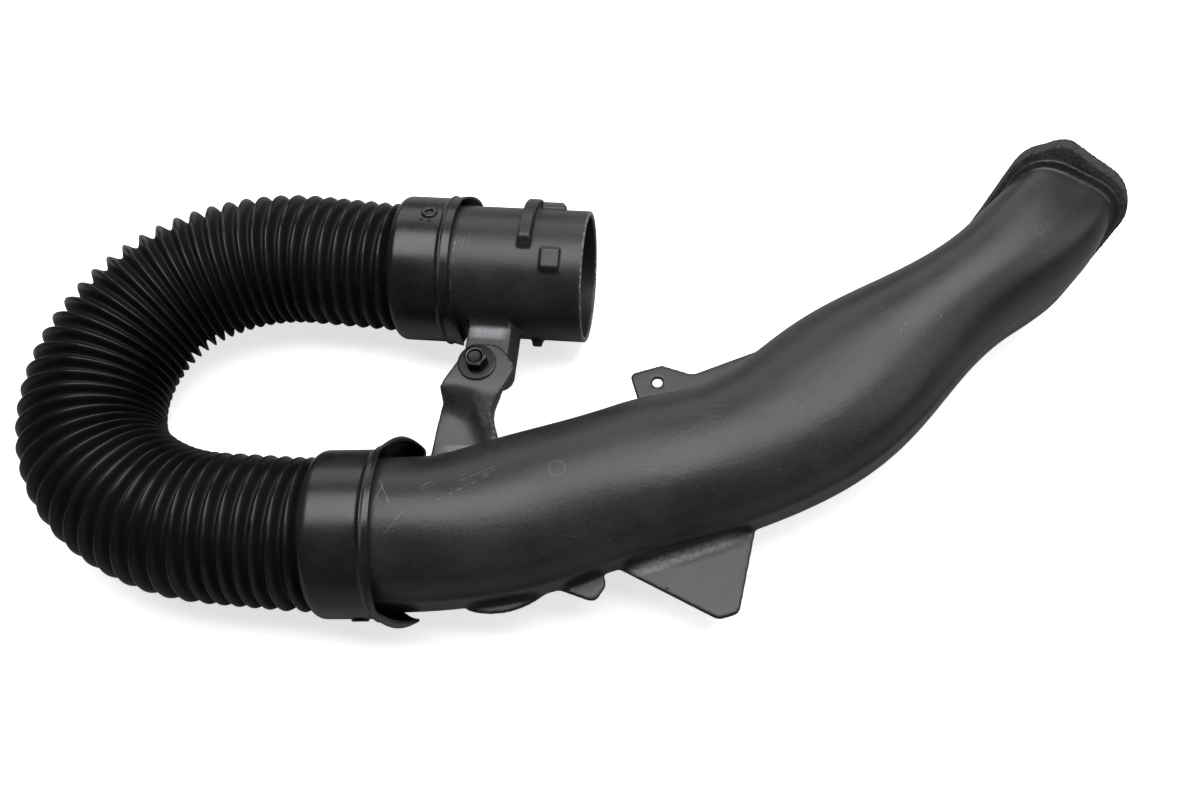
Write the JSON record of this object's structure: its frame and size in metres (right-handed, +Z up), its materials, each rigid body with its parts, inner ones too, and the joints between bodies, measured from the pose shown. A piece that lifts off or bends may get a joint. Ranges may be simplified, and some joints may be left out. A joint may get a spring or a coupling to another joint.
{
  "type": "cold air intake pipe",
  "caption": "Engine air intake pipe: rigid outlet spout, bellows hose in a U-turn and a blow-moulded duct that sweeps to a flattened, foam-sealed mouth.",
  "frame": {"origin": "centre of the spout's open end", "axes": "+X out of the spout along its axis, +Z up from the surface the pipe lies on"},
  "size_m": [0.5441, 0.2524, 0.0915],
  "materials": {
    "spout_plastic": "satin moulded, scuffed",
    "hose_plastic": "satin",
    "duct_plastic": "matte moulded, scuffed",
    "foam": "open-cell foam",
    "black_steel": "black zinc",
    "brass": "machined"
  },
  "bodies": {
    "root": {"outlet_spout": "spout_plastic", "flexible_hose": "hose_plastic", "intake_duct": "duct_plastic", "mouth_seal": "foam", "bracket_bolt": "black_steel", "bolt_washer": "black_steel", "tab_insert": "brass"}
  },
  "joints": []
}
